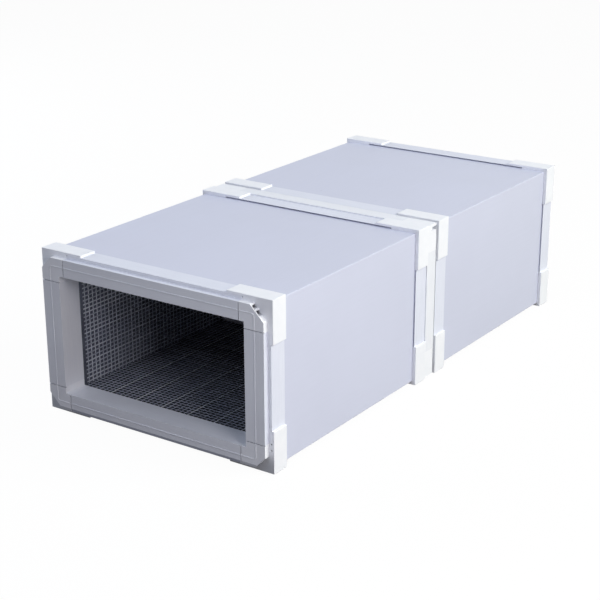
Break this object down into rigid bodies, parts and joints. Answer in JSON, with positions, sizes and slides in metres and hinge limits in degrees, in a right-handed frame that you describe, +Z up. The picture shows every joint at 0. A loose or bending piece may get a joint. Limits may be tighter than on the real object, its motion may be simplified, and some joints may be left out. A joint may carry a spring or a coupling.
{
  "type": "composite air duct",
  "caption": "Straight rectangular insulated air duct of board sections joined end to end by plug-in plastic flange frames with moulded corner pieces; mesh-faced dark airway.",
  "frame": {"origin": "centre of the underside, midway along the duct, on the floor it lies on", "axes": "+Y along the airway from the plug-in inlet end to the plain far end, +Z up, +X to the right seen from the inlet"},
  "size_m": [0.5, 1.0418, 0.306],
  "materials": {
    "board_skin": "smooth satin pale lavender-grey skin",
    "flange_bar": "satin off-white extruded plastic",
    "corner_piece": "satin white moulded plastic",
    "mesh_lining": "dark matt facing with a light woven grid"
  },
  "bodies": {
    "root": {"near_front_top_bar": "flange_bar", "near_front_bottom_bar": "flange_bar", "near_front_left_bar": "flange_bar", "near_front_right_bar": "flange_bar", "near_front_top_left_corner": "corner_piece", "near_front_top_right_corner": "corner_piece", "near_front_bottom_left_corner": "corner_piece", "near_front_bottom_right_corner": "corner_piece", "near_rear_top_bar": "flange_bar", "near_rear_bottom_bar": "flange_bar", "near_rear_left_bar": "flange_bar", "near_rear_right_bar": "flange_bar", "near_rear_top_left_corner": "corner_piece", "near_rear_top_right_corner": "corner_piece", "near_rear_bottom_left_corner": "corner_piece", "near_rear_bottom_right_corner": "corner_piece", "far_front_top_bar": "flange_bar", "far_front_bottom_bar": "flange_bar", "far_front_left_bar": "flange_bar", "far_front_right_bar": "flange_bar", "far_front_top_left_corner": "corner_piece", "far_front_top_right_corner": "corner_piece", "far_front_bottom_left_corner": "corner_piece", "far_front_bottom_right_corner": "corner_piece", "far_rear_top_bar": "flange_bar", "far_rear_bottom_bar": "flange_bar", "far_rear_left_bar": "flange_bar", "far_rear_right_bar": "flange_bar", "far_rear_top_left_corner": "corner_piece", "far_rear_top_right_corner": "corner_piece", "far_rear_bottom_left_corner": "corner_piece", "far_rear_bottom_right_corner": "corner_piece", "near_board_wall": "board_skin", "near_lining": "mesh_lining", "far_board_wall": "board_skin", "far_lining": "mesh_lining"}
  },
  "joints": []
}
